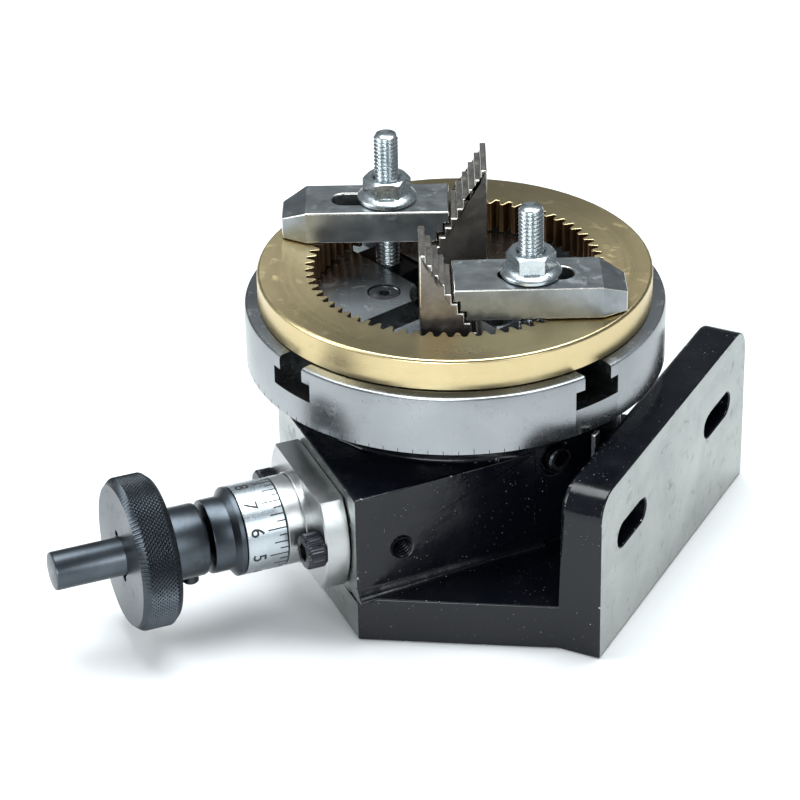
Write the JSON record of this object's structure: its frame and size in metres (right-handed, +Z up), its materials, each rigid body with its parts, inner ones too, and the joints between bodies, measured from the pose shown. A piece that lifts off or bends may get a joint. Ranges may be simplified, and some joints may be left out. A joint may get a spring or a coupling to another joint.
{
  "type": "rotary table",
  "caption": "Small rotary table with worm drive, handwheel, graduated dial and T-slots, with a brass internal gear ring held down by strap clamps.",
  "frame": {"origin": "on the table's axis, in the plane of the base's foot", "axes": "+Z up along the table's axis, +X out of the upright flange's outer face, +Y along the flange"},
  "size_m": [0.1167, 0.1483, 0.0934],
  "materials": {
    "black_paint": "gloss black paint over cast iron",
    "turned_steel": "fine-turned steel",
    "satin_steel": "satin ground steel",
    "satin_chrome": "satin chrome with black marks",
    "black_oxide": "black oxide on steel",
    "brass": "satin turned brass",
    "bronze": "machined bronze",
    "zinc": "bright zinc plate",
    "grey_steel": "grey blackened steel",
    "brown_steel": "dark brown oxide on steel"
  },
  "bodies": {
    "base": {"base_casting": "black_paint", "zero_index": "satin_steel", "bottom_cover": "black_oxide", "cover_screw_1": "zinc", "cover_screw_2": "zinc", "cover_screw_3": "zinc", "worm_sleeve": "satin_steel", "inner_bush": "bronze", "outer_bush": "bronze", "rear_bush": "bronze", "plate_screw_left": "black_oxide", "plate_screw_right": "black_oxide"},
    "table": {"table_disc": "turned_steel", "table_screw_1": "black_oxide", "table_screw_2": "black_oxide", "table_screw_3": "black_oxide", "table_screw_4": "black_oxide", "spindle": "satin_steel", "worm_wheel": "bronze", "wheel_key": "satin_steel", "thrust_washer": "satin_steel", "ring_nut": "black_oxide", "ring_gear": "brass"},
    "worm": {"worm_shaft": "black_oxide", "handwheel": "black_oxide", "handwheel_set_screw": "black_oxide", "dial_carrier": "black_oxide", "dial_spring": "satin_steel"},
    "dial": {"dial_ring": "satin_chrome"},
    "lock_pad": {"lock_pad": "brass"},
    "lock_screw": {"lock_screw": "black_oxide"},
    "clamp_near": {"t_nut_near": "black_oxide", "stud_near": "zinc", "step_block_near": "brown_steel"},
    "strap_near": {"clamp_strap_near": "grey_steel"},
    "nut_near": {"flange_nut_near": "zinc"},
    "clamp_far": {"t_nut_far": "black_oxide", "stud_far": "zinc", "step_block_far": "brown_steel"},
    "strap_far": {"clamp_strap_far": "grey_steel"},
    "nut_far": {"flange_nut_far": "zinc"}
  },
  "joints": [
    {"name": "table_spin", "type": "hinge", "parent": "base", "child": "table", "pos_m": [0, 0, 0.023], "axis": [0, 0, 1], "continuous": true},
    {"name": "worm_spin", "type": "hinge", "parent": "base", "child": "worm", "pos_m": [0.01635, -0.01472, 0.023], "axis": [-0.6691, -0.7431, 0], "continuous": true},
    {"name": "dial_slip", "type": "hinge", "parent": "worm", "child": "dial", "pos_m": [0.01635, -0.01472, 0.023], "axis": [-0.6691, -0.7431, 0], "continuous": true},
    {"name": "lock_pad_slide", "type": "slide", "parent": "base", "child": "lock_pad", "axis": [0.8746, -0.4848, 0], "range_m": [-0.0002, 0.0002]},
    {"name": "lock_screw_turn", "type": "hinge", "parent": "base", "child": "lock_screw", "pos_m": [0, 0, 0.034], "axis": [0.8746, -0.4848, 0], "range_deg": [0, 288]},
    {"name": "clamp_near_slide", "type": "slide", "parent": "table", "child": "clamp_near", "axis": [0.9135, -0.4067, 0], "range_m": [-0.001, 0.002]},
    {"name": "strap_near_slide", "type": "slide", "parent": "clamp_near", "child": "strap_near", "axis": [0.891, 0.454, 0], "range_m": [0, 0.004]},
    {"name": "nut_near_lift", "type": "slide", "parent": "clamp_near", "child": "nut_near", "axis": [0, 0, 1], "range_m": [0, 0.01]},
    {"name": "clamp_far_slide", "type": "slide", "parent": "table", "child": "clamp_far", "axis": [-0.9135, 0.4067, 0], "range_m": [-0.001, 0.002]},
    {"name": "strap_far_slide", "type": "slide", "parent": "clamp_far", "child": "strap_far", "axis": [-0.8988, -0.4384, 0], "range_m": [0, 0.001]},
    {"name": "nut_far_lift", "type": "slide", "parent": "clamp_far", "child": "nut_far", "axis": [0, 0, 1], "range_m": [0, 0.01]}
  ],
  "couplings": [
    {"joint": "worm_spin", "follows": "table_spin", "ratio": 36}
  ]
}
